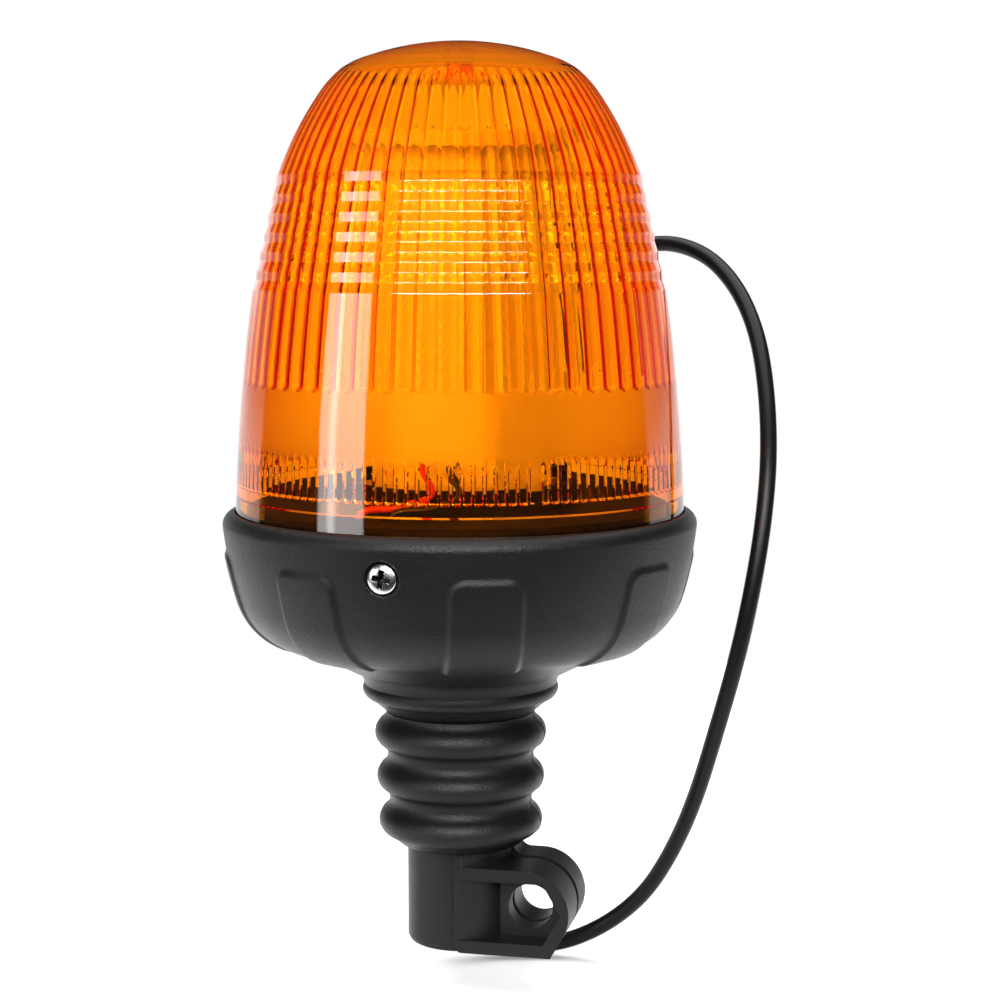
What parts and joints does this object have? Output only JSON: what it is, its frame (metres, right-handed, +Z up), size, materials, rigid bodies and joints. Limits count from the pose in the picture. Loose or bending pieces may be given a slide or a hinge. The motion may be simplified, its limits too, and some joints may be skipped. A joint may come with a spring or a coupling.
{
  "type": "warning beacon",
  "caption": "Amber dome beacon in a black rubber cup on a ringed flexible neck, with a split socket that clamps on a round pole and a trailing supply cable.",
  "frame": {"origin": "centre of the pole socket's mouth", "axes": "+Z up along the pole axis to the lens's crown, +X towards the clamp ears, -Y towards the ear with the nut pocket"},
  "size_m": [0.1722, 0.1914, 0.3078],
  "materials": {
    "amber_lens": "clear amber polycarbonate, polished outside",
    "black_rubber": "matte, finely grained",
    "socket_plastic": "satin moulded glass-filled nylon",
    "carrier_plastic": "satin moulded",
    "tower_white": "white powder coat",
    "led_board_white": "white solder mask",
    "led_clear": "yellow phosphor under clear resin",
    "screw_steel": "bright stainless",
    "insert_brass": "machined",
    "board_green": "green solder mask",
    "component_dark": "moulded or wound component",
    "capacitor_can": "sleeved can",
    "terminal_green": "moulded terminal block",
    "wire_red": "soft insulation",
    "wire_black": "soft insulation",
    "cable_jacket": "satin jacket",
    "tie_nylon": "natural nylon",
    "core_copper": "tinned strands"
  },
  "bodies": {
    "socket": {"pole_socket": "socket_plastic"},
    "neck": {"neck_bellows": "black_rubber"},
    "head": {"rubber_cup": "black_rubber", "lens_dome": "amber_lens", "lens_gasket": "black_rubber", "base_carrier": "carrier_plastic", "cup_screws": "screw_steel", "screw_inserts": "insert_brass", "led_tower": "tower_white", "leds": "led_clear", "tower_cap": "tower_white", "tower_screws": "screw_steel", "cap_screw": "screw_steel", "driver_board": "board_green", "board_screws": "screw_steel", "driver_choke": "component_dark", "driver_capacitors": "capacitor_can", "driver_chip": "component_dark", "terminal_block": "terminal_green", "supply_lead_red": "wire_red", "supply_lead_black": "wire_black", "tower_lead_red": "wire_red", "tower_lead_black": "wire_black", "cable_grommet": "black_rubber", "cable_tie": "tie_nylon", "supply_cable": "cable_jacket", "cable_core_red": "wire_red", "cable_core_black": "wire_black", "cable_core_tips": "core_copper", "led_board_1": "led_board_white", "led_board_2": "led_board_white", "led_board_3": "led_board_white", "led_board_4": "led_board_white", "led_board_5": "led_board_white", "led_board_6": "led_board_white"}
  },
  "joints": [
    {"name": "neck_lower", "type": "hinge", "parent": "socket", "child": "neck", "pos_m": [0, 0, 0.0541], "axis": [1, 0, 0], "range_deg": [-15, 15], "stiffness_Nm_per_rad": 12, "deforming": ["neck_bellows"]},
    {"name": "neck_upper", "type": "hinge", "parent": "neck", "child": "head", "pos_m": [0, 0, 0.0684], "axis": [0, 1, 0], "range_deg": [-15, 15], "stiffness_Nm_per_rad": 12, "deforming": ["neck_bellows"]}
  ]
}
